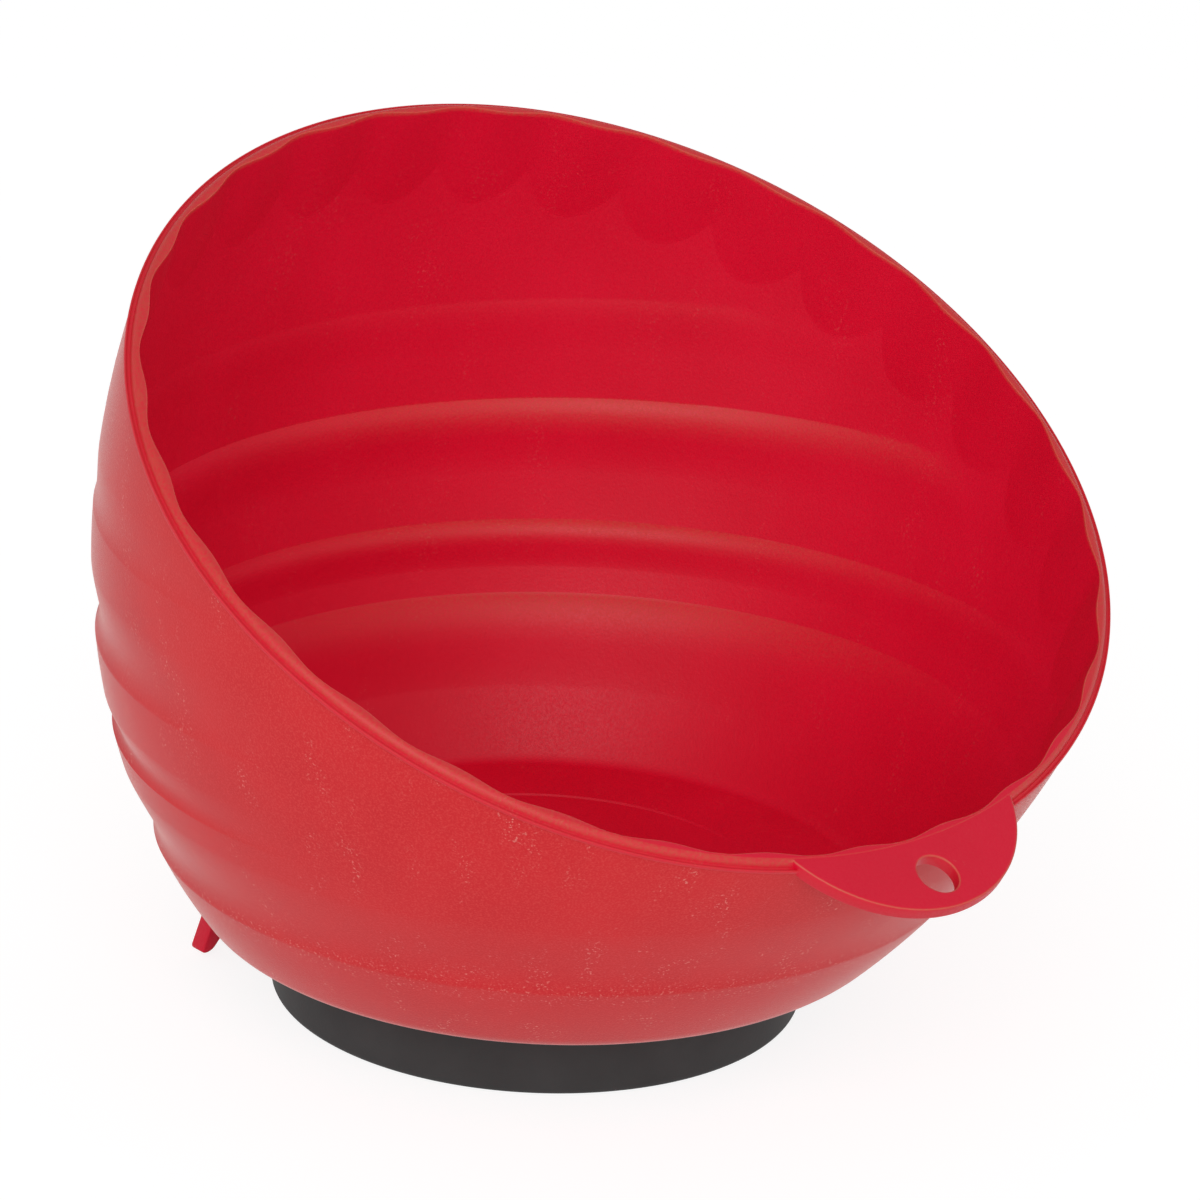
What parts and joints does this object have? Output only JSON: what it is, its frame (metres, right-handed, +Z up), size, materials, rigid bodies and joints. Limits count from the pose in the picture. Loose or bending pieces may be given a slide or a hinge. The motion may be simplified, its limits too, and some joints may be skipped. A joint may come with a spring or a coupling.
{
  "type": "magnetic parts tray",
  "caption": "Deep leaning plastic bowl with a slanted rim, ringed wall and hanging tab, on a ring magnet in a rubber boot, for holding small steel parts.",
  "frame": {"origin": "centre of the boot's flat underside, on the surface that the tray stands on", "axes": "+Z up out of the base, -Y towards the hanging tab and the rim's low end, +X to the right seen from the tab"},
  "size_m": [0.1506, 0.148, 0.1212],
  "materials": {
    "red_plastic": "satin",
    "black_rubber": "matte",
    "ferrite": "matte",
    "zinc_steel": "satin",
    "bush_brass": "satin"
  },
  "bodies": {
    "root": {"bowl": "red_plastic", "base_boot": "black_rubber", "ring_magnet": "ferrite", "pole_plate": "zinc_steel", "threaded_bush": "bush_brass", "centre_screw": "zinc_steel", "flat_washer": "zinc_steel", "spring_washer": "zinc_steel"}
  },
  "joints": []
}
